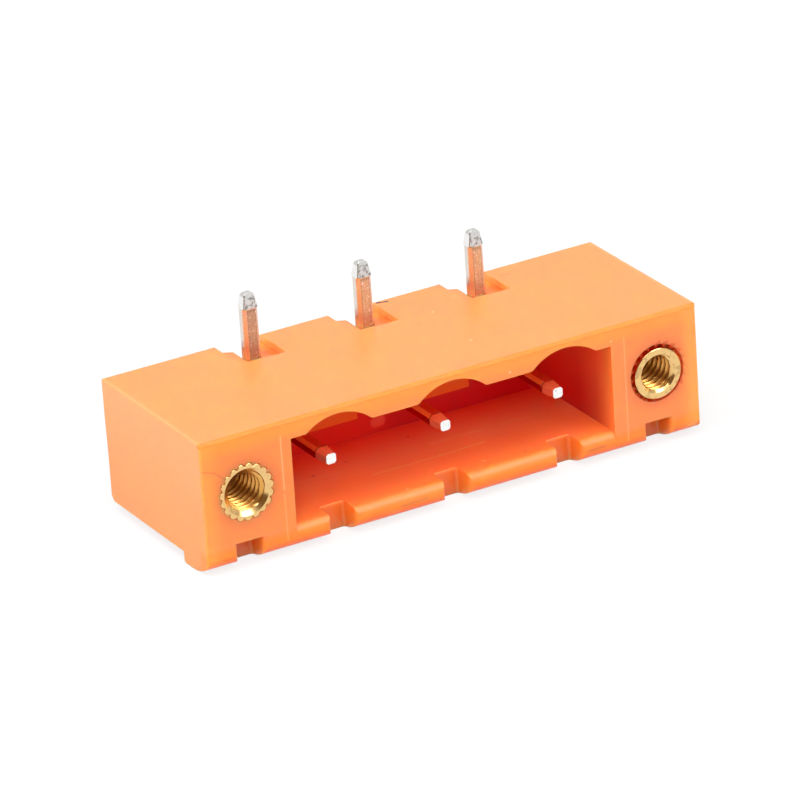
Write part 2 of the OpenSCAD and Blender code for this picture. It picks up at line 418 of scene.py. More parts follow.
@dataclass(frozen=True)
class MouldedPlastic:
    """Orange moulded polyamide of the housing, slightly translucent, with painted light and shade
    in its colours.
    """

    body: Rgb = (0.93, 0.271, 0.062)
    cloud: Rgb = (0.94, 0.282, 0.060)
    # Painted light on the end faces up high; painted shade on faces that look down and in the
    # notches' corners.
    pale: Rgb = (0.94, 0.325, 0.105)
    under: Rgb = (0.88, 0.130, 0.022)
    corner: Rgb = (0.74, 0.085, 0.014)
    rough: float = 0.38
    edge: float = 0.07
    grain: float = 0.004
    gloss: float = 0.5
    index: float = 1.58
    bleed: Rgb = (1.0, 0.25, 0.08)
    bleed_reach: float = 1.0
    # Painted light and shade: the socket's floor and side walls change colour with depth, deeper
    # red further in.
    floor_shading_stops: Stops = (
        (0.0, (0.92, 0.250, 0.044)),
        (0.08, (0.92, 0.225, 0.048)),
        (0.17, (0.91, 0.195, 0.050)),
        (0.29, (0.94, 0.182, 0.054)),
        (0.41, (0.98, 0.184, 0.060)),
        (0.52, (1.0, 0.200, 0.082)),
        (0.64, (1.0, 0.192, 0.088)),
        (0.76, (1.0, 0.155, 0.076)),
        (0.87, (1.0, 0.108, 0.047)),
        (1.0, (0.97, 0.058, 0.032)),
    )
    wall_shading_stops: Stops = (
        (0.0, (0.90, 0.245, 0.050)),
        (0.06, (0.80, 0.210, 0.048)),
        (0.23, (0.60, 0.074, 0.031)),
        (0.46, (0.56, 0.014, 0.015)),
        (0.70, (0.74, 0.024, 0.022)),
        (1.0, (0.86, 0.030, 0.024)),
    )
    # Painted shade on the socket's back wall; painted light on its upper parts between the pins, on
    # the upper side walls and on the socket's roof.
    end_wall: Rgb = (0.80, 0.016, 0.008)
    dark_wall: Rgb = (0.66, 0.004, 0.010)
    back_wall_glow: Rgb = (1.0, 0.168, 0.018)
    upper_wall_light: Rgb = (1.0, 0.160, 0.060)
    roof_light: Rgb = (1.0, 0.340, 0.090)
    # Painted shade and light outside: a darker front, a lighter band below its top, a darker
    # rounded top edge and a darker foot.
    face: Rgb = (0.85, 0.252, 0.060)
    brow_light: Rgb = (0.90, 0.300, 0.046)
    crest: Rgb = (0.90, 0.245, 0.038)
    nose_shade: Rgb = (0.90, 0.238, 0.030)
    # Painted shade in the rail's notches, lighter on their walls that face left.
    notch: Rgb = (0.74, 0.155, 0.018)
    notch_side: Rgb = (0.86, 0.255, 0.038)
    # Painted light on the walls of the leg pockets.
    pocket_wall: Rgb = (0.96, 0.360, 0.090)
    # Painted light towards the front's two ends; painted shade round the inserts, between the right
    # insert's ridges, and as a dark outline and teeth at its edge.
    end_light: Rgb = (1.0, 0.345, 0.068)
    halo_shade: Rgb = (0.80, 0.185, 0.055)
    seat_shade: Rgb = (0.40, 0.030, 0.006)
    seat_edge_shade: Rgb = (0.64, 0.085, 0.008)
    flames: float = 22.0
    flame_phase: float = 0.88
    flame_root: float = 1.80
    flame_run: float = 0.26
    far: float = 9.0
    front_fade: Band = (0.30, 0.02)
    pale_rise: Band = (0.5, 9.0)
    brow_rise: Band = (7.1, 7.8)
    crest_rise: Band = (8.11, 8.20)
    nose_drop: Band = (1.60, 1.10)
    lip_drop: Band = (1.66, 1.50)
    high_rise: Band = (2.5, 7.5)
    rim_out: Band = (15.2, 16.3)
    halo_in: Band = (2.6, 1.8)
    ring_in: Band = (1.86, 1.78)
    seat_in: Band = (1.83, 1.79)
    # Painted light and shade along the floors of the leg pockets, darker towards the front.
    pocket_stops: Stops = (
        (0.0, (0.93, 0.200, 0.028)),
        (0.45, (0.93, 0.185, 0.028)),
        (0.75, (0.93, 0.270, 0.048)),
        (1.0, (0.95, 0.340, 0.060)),
    )

    def make(self, block: "Block") -> bpy.types.Material:
        """Makes the plastic.

        Args:
            block: the places that the tints follow.

        Returns:
            The material.
        """
        sheet = Surface("orange_moulded_plastic", block, self.body)
        sheet.tint(self.cloud, sheet.step(sheet.noise(sheet.spot, 0.35, 3.0), 0.35, 0.7))
        self._outside(sheet)
        self._round_inserts(sheet)
        self._notches(sheet)
        self._socket(sheet)
        self._pockets(sheet)
        for mark in block.marks:
            sheet.tint(mark.colour, sheet.stroke(sheet.spot, mark))
        grain = sheet.noise(sheet.spot, 9.0, 2.0)
        # Painted shade: the plastic between the right insert's ridges is darkened as the gap's
        # shade, without subsurface light and with less gloss.
        seat = self._seat(sheet)
        sheet.tint(self.seat_shade, seat, 0.95)
        # Painted shade on the rounded top front edge, against its highlight; it is also made less
        # glossy.
        crest = sheet.step(sheet.z, *self.crest_rise)
        crest = sheet.product(crest, sheet.behind_front(0.30, 0.18))
        sheet.tint(self.crest, crest)
        lip = sheet.product(sheet.step(sheet.z, *self.lip_drop), sheet.behind_front(0.9, 0.5))
        gloss = self.gloss
        for duller, loss in ((seat, -0.4), (crest, -0.3), (lip, -0.2)):
            gloss = sheet.maths("MULTIPLY_ADD", duller, loss, gloss)
        sheet.shader(
            Base_Color=sheet.colour,
            Roughness=self.rough,
            Normal=sheet.relief(grain, self.grain, sheet.soft_edges(self.edge)),
            IOR=self.index,
            Specular_IOR_Level=gloss,
            Subsurface_Weight=sheet.less(1.0, seat),
            Subsurface_Radius=self.bleed,
            Subsurface_Scale=self.bleed_reach * MM,
        )
        return sheet.owner

    def _outside(self, sheet: Surface) -> None:
        """Paints light and shade outside: pales the end faces up high, darkens the front but
        lightens its upper band, and darkens the foot and what faces down.

        Args:
            sheet: the material so far.
        """
        end = sheet.step(sheet.side, sheet.block.half_length - 0.3, sheet.block.half_length - 0.05)
        sheet.tint(self.pale, end, sheet.step(sheet.z, *self.pale_rise))
        front = sheet.behind_front(*self.front_fade)
        sheet.tint(self.face, front)
        sheet.tint(self.brow_light, front, sheet.step(sheet.z, *self.brow_rise))
        sheet.tint(self.nose_shade, sheet.step(sheet.z, *self.nose_drop), sheet.behind_front(1.2, 0.6))
        sheet.tint(self.under, sheet.step(sheet.nz, -0.1, -0.8))

    def _round_inserts(self, sheet: Surface) -> None:
        """Paints shade round the inserts and a dark outline and teeth of shade at the right one,
        and light towards the front's ends.

        Args:
            sheet: the material so far.
        """
        front = sheet.behind_front(*self.front_fade)
        right = sheet.step(sheet.x, 5.0, 6.0)
        across = sheet.less(sheet.side, sheet.block.insert_x)
        rise = sheet.less(sheet.z, sheet.block.axis)
        reach = sheet.reach(across, rise)
        sheet.tint(self.halo_shade, front, sheet.step(reach, *self.halo_in), 0.75)
        sheet.tint(self.seat_edge_shade, front, sheet.step(reach, *self.ring_in), right, 0.5)
        turn = sheet.maths("ARCTAN2", rise, across)
        tooth = sheet.maths("MULTIPLY_ADD", turn, -self.flames / math.tau, self.flame_phase)
        upper = sheet.product(sheet.step(turn, -1.2, -0.6), sheet.step(turn, 2.0, 1.4))
        # Painted shade: dark serration-shaped teeth over the top and right of the right insert's
        # edge.
        darkened = sheet.product(upper, right, front)
        flame = sheet.product(sheet.maths("FRACT", tooth), darkened)
        limit = sheet.maths("MULTIPLY_ADD", flame, self.flame_run, self.flame_root)
        sheet.tint(self.seat_edge_shade, sheet.step(sheet.less(reach, limit), 0.04, -0.04), darkened, 0.85)
        share = sheet.maths("MULTIPLY_ADD", sheet.step(sheet.x, -1.0, 1.0), 0.4, 0.6)
        sheet.tint(self.end_light, front, sheet.step(sheet.side, *self.rim_out), share)

    def _notches(self, sheet: Surface) -> None:
        """Paints shade in the five notches of the foot rail, most in their corners, with light on
        their walls that face left.

        Args:
            sheet: the material so far.
        """
        block = sheet.block
        past_poles = sheet.step(sheet.side, block.poles_end, block.poles_end + 0.4)
        to_pole = sheet.maths("PINGPONG", sheet.side, block.pitch / 2)
        to_pole = sheet.maths("MULTIPLY_ADD", past_poles, self.far, to_pole)
        to_insert = sheet.maths("ABSOLUTE", sheet.less(sheet.side, block.insert_x))
        across = sheet.less(sheet.maths("MINIMUM", to_pole, to_insert), block.notch_width / 2)
        back = sheet.less(sheet.y, block.front + block.notch_depth)
        notch = sheet.product(
            sheet.step(across, 0.06, 0.03),
            sheet.step(sheet.z, block.floor, block.floor - 0.25),
            sheet.step(back, 0.06, 0.03),
        )
        sideways = sheet.step(sheet.nx, 0.0, -0.95)
        sheet.tint(sheet.blend(sideways, self.notch, self.notch_side), notch)
        sheet.tint(self.corner, notch, sheet.step(sheet.reach(across, back), 0.8, 0.1), 0.15)

    def _seat(self, sheet: Surface) -> Socket:
        """Share of the plastic between the ridges that hold the right insert, which is painted dark
        as the gap's shade.

        Args:
            sheet: the material so far.

        Returns:
            The share from 0 to 1.
        """
        across = sheet.less(sheet.x, sheet.block.insert_x)
        reach = sheet.reach(across, sheet.less(sheet.z, sheet.block.axis))
        return sheet.product(sheet.step(reach, *self.seat_in), sheet.behind_front(0.08, 0.04))

    def _socket(self, sheet: Surface) -> None:
        """Paints shade inside the socket, where little light comes, and light on its roof, upper
        side walls and back wall between the pins.

        Args:
            sheet: the material so far.
        """
        block = sheet.block
        depth = sheet.less(sheet.y, block.front)
        depth = sheet.maths("DIVIDE", depth, block.back_wall - block.front)
        inside = sheet.product(
            sheet.within(sheet.x, -block.socket_half - 0.03, block.socket_half + 0.03, 0.03),
            sheet.within(sheet.z, block.floor - 0.03, block.arch_top + 0.05, 0.03),
            sheet.behind_front(0.01, 0.03),
            sheet.step(sheet.y, block.back_wall + 0.06, block.back_wall + 0.03),
        )
        sheet.tint(self.roof_light, inside, sheet.step(sheet.nz, -0.3, -0.6))
        flat = sheet.step(sheet.nz, 0.3, 0.6)
        sheet.tint(sheet.ramp(depth, self.floor_shading_stops), inside, flat)
        high = sheet.step(sheet.z, *self.high_rise)
        high = sheet.product(high, sheet.behind_front(0.4, 1.6), 0.65)
        wall = sheet.blend(high, sheet.ramp(depth, self.wall_shading_stops), self.upper_wall_light)
        sheet.tint(wall, inside, sheet.step(sheet.maths("ABSOLUTE", sheet.nx), 0.5, 0.8))
        from_gap = sheet.maths("PINGPONG", sheet.x, block.pitch / 2)
        # Painted light where light comes through the back wall between the pins, above the bosses.
        glow_patch = sheet.product(
            sheet.step(from_gap, block.boss_half, block.boss_half + 0.08),
            sheet.step(sheet.z, block.boss_top, block.boss_top + 0.08),
            sheet.step(sheet.side, block.pitch, block.pitch - 0.1),
        )
        back = sheet.blend(sheet.step(sheet.x, -2.5, 2.5), self.end_wall, self.dark_wall)
        back = sheet.blend(glow_patch, back, self.back_wall_glow)
        deep = sheet.step(sheet.y, block.back_wall - 0.06, block.back_wall - 0.03)
        upright = sheet.step(sheet.maths("ABSOLUTE", sheet.nz), 0.6, 0.3)
        sheet.tint(back, inside, deep, upright)

    def _pockets(self, sheet: Surface) -> None:
        """Paints light on the walls and light and shade on the sunken floor of the leg pockets, to
        the right of each leg.

        Args:
            sheet: the material so far.
        """
        block = sheet.block
        off = sheet.maths("WRAP", sheet.x, block.pitch / 2, -block.pitch / 2)
        pocket = sheet.product(
            sheet.within(off, *block.pocket_span, 0.08),
            sheet.step(sheet.side, 9.6, 9.5),
            sheet.step(sheet.y, block.pocket_front - 0.06, block.pocket_front - 0.02),
        )
        wall = sheet.within(sheet.z, block.pocket_floor + 0.05, block.board_face - 0.04, 0.02)
        base = sheet.within(sheet.z, block.pocket_floor - 0.03, block.pocket_floor + 0.03, 0.03)
        run = sheet.maths("DIVIDE", sheet.less(sheet.y, block.pocket_front), block.pocket_run)
        sheet.tint(self.pocket_wall, pocket, wall)
        sheet.tint(sheet.ramp(run, self.pocket_stops), pocket, base)


@dataclass(frozen=True)
class TinnedWire:
    """Tin plating of the contact pins, drawn along the wire, with painted reflections and painted
    shade.
    """

    plate: Rgb = (0.92, 0.91, 0.89)
    dull: Rgb = (0.72, 0.66, 0.60)
    tip: Rgb = (0.84, 0.83, 0.82)
    edge: Rgb = (0.84, 0.76, 0.62)
    # Painted reflection of the orange plastic on the blades' tapers.
    taper: Rgb = (0.95, 0.45, 0.24)
    darkened: Rgb = (0.45, 0.37, 0.27)
    bare: Rgb = (0.62, 0.48, 0.31)
    scar: Rgb = (0.62, 0.61, 0.59)
    # Dark specks, also used for painted shade where the taper starts.
    speck: Rgb = (0.12, 0.10, 0.09)
    # Dirt specks, and painted shade along the legs' front edges and under the coined neck.
    speck_and_shade: Rgb = (0.22, 0.14, 0.11)
    # Painted reflections of the red socket on the blades' left sides and tops.
    flank: Rgb = (0.50, 0.06, 0.06)
    crest: Rgb = (0.62, 0.17, 0.24)
    rough: float = 0.20
    leg_rough: float = 0.24
    coined: float = 11.08
    crown: float = 11.86
    taper_end: float = -3.90

    def make(self, block: "Block") -> bpy.types.Material:
        """Makes the tin plating: bright on the blades, darkened and speckled on the front of the
        legs, with painted reflections on the blades and painted shade on the legs and where the
        taper starts.

        Args:
            block: the places that the finish follows.

        Returns:
            The material.
        """
        sheet = Surface("tinned_wire", block, self.plate)
        y, z = sheet.y, sheet.z
        leg = sheet.step(z, block.board_face - 1.0, block.board_face - 0.4)
        front = sheet.product(leg, sheet.step(sheet.ny, -0.80, -0.92))
        mottle = sheet.noise(sheet.place((1.0, 1.0, 0.5)), 8.0, 4.0, 0.65)
        sheet.tint(self.dull, leg)
        sheet.tint(self.tip, sheet.step(z, self.coined, self.coined + 0.1))
        sheet.tint(self.darkened, sheet.step(mottle, 0.50, 0.75), 0.35)
        in_socket = sheet.step(z, 6.5, 6.0)
        blade = sheet.step(y, self.taper_end - 0.02, self.taper_end + 0.04)
        blade = sheet.product(blade, in_socket)
        # Painted reflection: the socket's red on the blade's left sides and tops.
        sheet.tint(self.flank, blade, sheet.step(sheet.nx, -0.8, -0.95))
        sheet.tint(self.crest, blade, sheet.step(sheet.nz, 0.8, 0.95))
        low = sheet.product(front, sheet.step(z, self.coined + 0.03, self.coined - 0.03))
        darkened = sheet.blend(sheet.step(sheet.x, -6.0, -5.0), self.darkened, self.bare)
        sheet.tint(darkened, low, sheet.step(mottle, 0.20, 0.52))
        scarred = sheet.product(front, sheet.step(z, self.coined, self.coined + 0.05))
        scars = sheet.step(sheet.noise(sheet.spot, 4.2, 4.0, 0.65), 0.44, 0.62)
        sheet.tint(self.scar, scarred, 0.8)
        sheet.tint(self.speck, scarred, scars, 0.7)
        sheet.tint(self.scar, sheet.step(z, self.crown - 0.03, self.crown + 0.03))
        specks = sheet.step(sheet.noise(sheet.spot, 9.0, 3.0, 0.6), 0.52, 0.66)
        sheet.tint(self.speck_and_shade, low, specks, 0.6)
        # Painted shade along the front's edges and under the coined neck.
        beside = sheet.maths("PINGPONG", sheet.side, block.pitch / 2)
        sheet.tint(self.speck_and_shade, low, sheet.within(beside, 0.26, 0.31, 0.03), 0.45)
        sheet.tint(self.speck_and_shade, low, sheet.step(z, self.coined - 0.30, self.coined - 0.04), 0.45)
        glints = sheet.noise(sheet.place(shift=(3.0, 0.0, 5.0)), 7.0, 2.0, 0.5)
        sheet.tint(self.plate, low, sheet.step(glints, 0.64, 0.72), 0.8)
        turned = sheet.product(leg, sheet.step(sheet.ny, -0.40, -0.60))
        turned = sheet.product(turned, sheet.step(z, self.coined, self.coined - 0.05))
        sheet.tint(self.edge, turned, sheet.step(sheet.nx, -0.40, -0.60))
        # Painted reflection: the orange plastic on the taper, which is also made less metallic.
        taper = sheet.step(y, self.taper_end, self.taper_end - 0.04)
        taper = sheet.product(taper, sheet.step(sheet.ny, -0.9, -0.8))
        sheet.tint(self.taper, taper)
        # Painted shade: a dark line where the taper starts.
        crease = sheet.within(y, self.taper_end - 0.02, self.taper_end + 0.05, 0.02)
        sheet.tint(self.speck, crease, in_socket, 0.75)
        sheet.shader(
            Base_Color=sheet.colour,
            Metallic=sheet.maths("MULTIPLY_ADD", taper, -0.18, 1.0),
            Roughness=sheet.maths("MULTIPLY_ADD", turned, self.leg_rough, self.rough),
            Normal=sheet.relief(mottle, 0.008),
        )
        return sheet.owner


@dataclass(frozen=True)
class TurnedBrass:
    """Turned brass of the threaded inserts, with painted shade in their bores."""

    metal: Rgb = (0.83, 0.540, 0.220)
    stain: Rgb = (0.52, 0.32, 0.13)
    # Painted shade in the threaded bores.
    bore: Rgb = (0.74, 0.380, 0.095)
    rough: float = 0.19
    bore_rough: float = 0.10
    bore_in: Band = (1.30, 1.26)

    def make(self, block: "Block") -> bpy.types.Material:
        """Makes the brass.

        Args:
            block: the places that the finish follows.

        Returns:
            The material.
        """
        sheet = Surface("turned_brass", block, self.metal)
        across = sheet.less(sheet.side, block.insert_x)
        reach = sheet.reach(across, sheet.less(sheet.z, block.axis))
        bore = sheet.product(sheet.step(reach, *self.bore_in), sheet.behind_front(0.15, 0.30))
        ring = sheet.product(sheet.step(sheet.x, 10.0, 11.0), sheet.behind_front(0.05, -0.05))
        cloud = sheet.step(sheet.noise(sheet.spot, 2.4, 3.0, 0.6), 0.46, 0.64)
        sheet.tint(self.stain, cloud, sheet.maths("MULTIPLY_ADD", ring, 0.60, 0.15))
        # Painted shade: the bore is darkened.
        sheet.tint(self.bore, bore)
        sheet.shader(
            Base_Color=sheet.colour,
            Metallic=1.0,
            Roughness=sheet.maths("MULTIPLY_ADD", bore, self.bore_rough, self.rough),
            Normal=sheet.relief(sheet.noise(sheet.spot, 5.0, 3.0, 0.6), 0.003),
        )
        return sheet.owner


@dataclass(frozen=True)
class StudioPaper:
    """White paper floor that shows white and keeps a faint shadow."""

    glow: float = 0.75
    pale: float = 0.6
    light: float = 1.08

    def make(self) -> bpy.types.Material:
        """Makes the paper."""
        sheet = NodeSheet("studio_paper")
        rays = sheet.add("ShaderNodeLightPath").outputs
        seen = sheet.maths("MAXIMUM", rays["Is Glossy Ray"], rays["Is Transmission Ray"])
        seen = sheet.maths("MAXIMUM", sheet.product(rays["Is Camera Ray"], self.glow), seen)
        paper = sheet.add("ShaderNodeBsdfDiffuse")
        paper.inputs["Color"].default_value = rgba((self.pale, self.pale, self.pale))
        light = sheet.add("ShaderNodeEmission")
        light.inputs["Color"].default_value = rgba(WHITE)
        light.inputs["Strength"].default_value = self.light
        both = sheet.add("ShaderNodeMixShader")
        sheet.feed(both.inputs[0], seen)
        sheet.feed(both.inputs[1], paper.outputs[0])
        sheet.feed(both.inputs[2], light.outputs[0])
        sheet.feed(sheet.output.inputs["Surface"], both.outputs[0])
        return sheet.owner


@dataclass
class PhotoCamera:
    """Camera at the photograph's viewing angle."""

    azimuth: float = -28.392
    elevation: float = 23.795
    roll: float = -3.76
    distance: float = 409.306
    lens: float = 314.63
    sensor: float = 36.0
    nearest: float = 10.0
    farthest: float = 10000.0
    target: Point = (-0.232, 0.0, 4.646)

    def build(self) -> None:
        """Makes the camera and hands it to the scene."""
        a = math.radians(self.azimuth)
        r = math.radians(self.roll)
        back = direction(self.azimuth, self.elevation)
        level = Vector((math.cos(a), math.sin(a), 0.0))
        rise = back.cross(level)
        right = level * math.cos(r) + rise * math.sin(r)
        up = rise * math.cos(r) - level * math.sin(r)
        data = bpy.data.cameras.new("photo_camera")
        data.sensor_width = self.sensor
        data.lens = self.lens
        data.clip_start = self.nearest * MM
        data.clip_end = self.farthest * MM
        camera = show("photo_camera", data)
        turn = Matrix((right, up, back)).transposed()
        spot = Vector(self.target) * MM + back * self.distance * MM
        camera.matrix_world = Matrix.Translation(spot) @ turn.to_4x4()
        bpy.context.scene.camera = camera


@dataclass(frozen=True)
class Softbox:
    """A square lamp that looks at the object: it is mirrored in it, lights it, or both."""

    name: str
    azimuth: float
    elevation: float
    distance: float
    width: float
    power: float
    mirrored: bool = True
    lights: bool = True

    def build(self) -> None:
        """Makes the lamp."""
        data = bpy.data.lights.new(self.name, "AREA")
        data.shape = "SQUARE"
        data.size = self.width * MM
        data.energy = self.power
        lamp = show(self.name, data)
        lamp.visible_glossy = self.mirrored
        lamp.visible_diffuse = self.lights
        back = direction(self.azimuth, self.elevation)
        lamp.location = back * self.distance * MM
        lamp.rotation_mode = "QUATERNION"
        lamp.rotation_quaternion = back.to_track_quat("Z", "Y")


@dataclass
class Studio:
    """Plain pale floor and plain soft light."""

    floor_half: float = 1500.0
    sky: float = 0.2
    dim: Rgb = (0.200, 0.125, 0.068)
    shade: Rgb = (0.60, 0.57, 0.52)
    room: Point = (-0.676, -0.676, 0.292)
    grey: Point = (0.913, -0.161, 0.375)
    lamps: tuple[Softbox, ...] = (
        Softbox("top_softbox", -60.0, 72.0, 600.0, 500.0, 3.8),
        Softbox("front_softbox", -20.0, 32.0, 600.0, 400.0, 1.9, mirrored=False),
        Softbox("left_softbox", -95.0, 20.0, 600.0, 450.0, 1.9, mirrored=False),
        Softbox("kicker", 38.0, 44.0, 600.0, 360.0, 1.1),
        Softbox("glint", 38.0, 44.0, 590.0, 330.0, 1.0, lights=False),
        Softbox("low_glint", 64.0, 6.0, 600.0, 120.0, 0.5, lights=False),
    )

    def build(self) -> None:
        """Makes the floor, the lamps and the world."""
        sheet = bmesh.new()
        bmesh.ops.create_grid(sheet, x_segments=1, y_segments=1, size=self.floor_half * MM)
        mesh = bpy.data.meshes.new("studio_floor")
        sheet.to_mesh(mesh)
        sheet.free()
        mesh.materials.append(StudioPaper().make())
        floor = show("studio_floor", mesh)
        for lamp in self.lamps:
            lamp.build()
        self._light_sky()
        log.info("studio: floor, %d softboxes and sky", len(self.lamps))

    def _light_sky(self) -> None:
        """Makes the world: white, but what is mirrored shows a dim warm room and a grey side."""
        sheet = NodeSheet("studio_sky", world=True)
        bpy.context.scene.world = sheet.owner
        rays = sheet.add("ShaderNodeLightPath").outputs
        way = sheet.add("ShaderNodeTexCoord").outputs["Generated"]
        ahead = sheet.pair("DOT_PRODUCT", way, self.room).outputs["Value"]
        aside = sheet.pair("DOT_PRODUCT", way, self.grey).outputs["Value"]
        mirrored = sheet.maths("MAXIMUM", rays["Is Glossy Ray"], rays["Is Transmission Ray"])
        shown = sheet.blend(sheet.step(aside, 0.82, 0.92), WHITE, self.shade)
        shown = sheet.blend(sheet.step(ahead, 0.55, 0.90), shown, self.dim)
        other = sheet.blend(mirrored, (self.sky, self.sky, self.sky), shown)
        sky = sheet.add("ShaderNodeBackground")
        sheet.feed(sky.inputs["Color"], sheet.blend(rays["Is Camera Ray"], other, WHITE))
        sheet.feed(sheet.output.inputs["Surface"], sky.outputs[0])


@dataclass
class Piece:
    """A finished mesh that stands for one CAD node."""

    name: str
    node: str
    slot: Slot

    def finish(
        self, shape: bmesh.types.BMesh, material: bpy.types.Material, smooth: float
    ) -> None:
        """Writes the mesh, dresses it and hangs it on the frame.

        Args:
            shape: the modelled shape, in metres, in place.
            material: its finish.
            smooth: angle in degrees under which faces are shaded as one.
        """
        mesh = bpy.data.meshes.new(self.name)
        shape.to_mesh(mesh)
        shape.free()
        mesh.materials.append(material)
        piece = show(self.name, mesh)
        for face in mesh.polygons:
            face.use_smooth = True
        mesh.set_sharp_from_angle(angle=math.radians(smooth))
        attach(piece, "root")
        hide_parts(self.node)
        log.info("%s: %d faces, stands for %s", self.name, len(mesh.polygons), self.node)


class Bar:
    """A closed bar of metal that grows from its last face."""

    def __init__(self, face_size: tuple[float, float], corner: float, place: Matrix) -> None:
        """Starts the bar with one rounded rectangular face.

        Args:
            face_size: width and height of the face in millimetres.
            corner: radius of its corners.
            place: where the face lies.
        """
        self.shape = bmesh.new()
        bmesh.ops.create_grid(self.shape, x_segments=1, y_segments=1, size=0.5)
        bmesh.ops.scale(self.shape, vec=(*face_size, 1.0), verts=self.shape.verts)
        bmesh.ops.bevel(
            self.shape,
            geom=self.shape.verts[:],
            offset=corner,
            affect="VERTICES",
            segments=1,
            profile=0.5,
            material=-1,
        )
        bmesh.ops.transform(self.shape, matrix=place, verts=self.shape.verts)
        self.shape.faces.ensure_lookup_table()
        self.face = self.shape.faces[0]
        self.size = face_size
        self.corner = corner

    def centre(self) -> Vector:
        """Middle of the last face."""
        return self.face.calc_center_bounds()

    def reshape(self, face_size: tuple[float, float], corner: float, place: Matrix) -> None:
        """Gives the last face another size and corner radius.

        Args:
            face_size: width and height in millimetres.
            corner: radius of its corners.
            place: where the face lies.
        """
        back = place.inverted()
        half = [v / 2 for v in self.size]
        for vert in self.face.verts:
            spot = back @ vert.co
            for i in (0, 1):
                inner = half[i] - self.corner
                over = (abs(spot[i]) - inner) / self.corner
                side = math.copysign(1.0, spot[i])
                spot[i] = side * (face_size[i] / 2 - corner + over * corner)
            vert.co = place @ spot
        self.size = face_size
        self.corner = corner

    def push(self, move: Point, narrow: Point = EVEN) -> None:
        """Pulls the last face out and scales it about its middle.

        Args:
            move: how far, in millimetres.
            narrow: scale along each axis.
        """
        made = bmesh.ops.extrude_face_region(self.shape, geom=[self.face])["geom"]
        self.face = next(g for g in made if isinstance(g, bmesh.types.BMFace))
        bmesh.ops.translate(self.shape, vec=move, verts=self.face.verts)
        bmesh.ops.scale(
            self.shape,
            vec=narrow,
            verts=self.face.verts,
            space=Matrix.Translation(-self.centre()),
        )

    def turn(self, centre: Point, axis: Point, degrees: float, steps: int) -> None:
        """Bends the bar on round an axis.

        Args:
            centre: a point on the axis.
            axis: the axis' direction.
            degrees: how far it turns.
            steps: faces along the bend.
        """
        made = bmesh.ops.spin(
            self.shape,
            geom=[self.face],
            cent=centre,
            axis=axis,
            angle=math.radians(degrees),
            steps=steps,
        )["geom_last"]
        self.face = next(g for g in made if isinstance(g, bmesh.types.BMFace))

    def finish(self) -> bmesh.types.BMesh:
        """Deletes the faces left inside the bar, turns the others outwards and goes over to metres.

        Returns:
            The closed shape in metres.
        """
        inside = [f for f in self.shape.faces if all(len(e.link_faces) > 2 for e in f.edges)]
        bmesh.ops.delete(self.shape, geom=inside, context="FACES_ONLY")
        bmesh.ops.recalc_face_normals(self.shape, faces=self.shape.faces)
        bmesh.ops.scale(self.shape, vec=(MM, MM, MM), verts=self.shape.verts)
        return self.shape


@dataclass
class ContactPin:
    """A contact bent from tinned wire: a blade in the socket and a leg for the board."""

    side: str
    width: float = 1.0
    thick: float = 0.82
    corner: float = 0.21
    bend: float = 0.35
    tip_run: float = 1.0
    tip_width: float = 0.64
    tip_corner: float = 0.12
    leg_tip_run: float = 1.0
    leg_tip_width: float = 0.72
    leg_tip_thick: float = 0.60
    coined_corner: float = 0.05
    coined_inset: float = 0.02
    coined_run: float = 0.10
    crown_run: float = 0.22
    crown_steps: tuple[tuple[float, Point], ...] = (
        (0.6, (0.86, 0.84, 1.0)),
        (0.4, (0.55, 0.5, 1.0)),
    )
    bend_steps: int = 8
    smooth: float = 8.0

    def build(self) -> bmesh.types.BMesh:
        """Models the wire from the tip of the blade to the top of the leg.

        Returns:
            The shape in metres.
        """
        low, high = (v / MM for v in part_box("pin_" + self.side))
        x = (low.x + high.x) / 2
        axis_z = low.z + self.thick / 2
        leg_y = high.y - self.thick / 2
        turn = Matrix.Rotation(math.radians(90.0), 4, "X")
        place = Matrix.Translation((x, low.y, axis_z)) @ turn
        full = (self.width, self.thick)
        bar = Bar(full, self.corner, place)
        bar.reshape((self.tip_width, self.tip_width), self.tip_corner, place)
        bar.push((0.0, self.tip_run, 0.0))
        bar.reshape(full, self.corner, Matrix.Translation((0.0, self.tip_run, 0.0)) @ place)
        pivot = (x, leg_y - self.thick / 2 - self.bend, axis_z + self.thick / 2 + self.bend)
        run = pivot[1] - (low.y + self.tip_run)
        bar.push((0.0, run, 0.0))
        bar.turn(pivot, (1.0, 0.0, 0.0), 90.0, self.bend_steps)
        rise = high.z - self.leg_tip_run - bar.centre().z
        bar.push((0.0, 0.0, rise))
        bar.push((0.0, 0.0, self.coined_run))
        neck = Matrix.Translation(bar.centre())
        bar.reshape(tuple(v - self.coined_inset for v in full), self.coined_corner, neck)
        rise = self.leg_tip_run - self.coined_run - self.crown_run
        bar.push((0.0, 0.0, rise))
        peak = Matrix.Translation((0.0, 0.0, rise)) @ neck
        bar.reshape((self.leg_tip_width, self.leg_tip_thick), self.coined_corner, peak)
        for share, narrow in self.crown_steps:
            bar.push((0.0, 0.0, self.crown_run * share), narrow)
        return bar.finish()

    def dress(self, material: bpy.types.Material) -> None:
        """Builds the pin and puts it in the frame."""
        piece = Piece("contact_pin_" + self.side, "pin_" + self.side, Slot.CONTACT)
        piece.finish(self.build(), material, self.smooth)


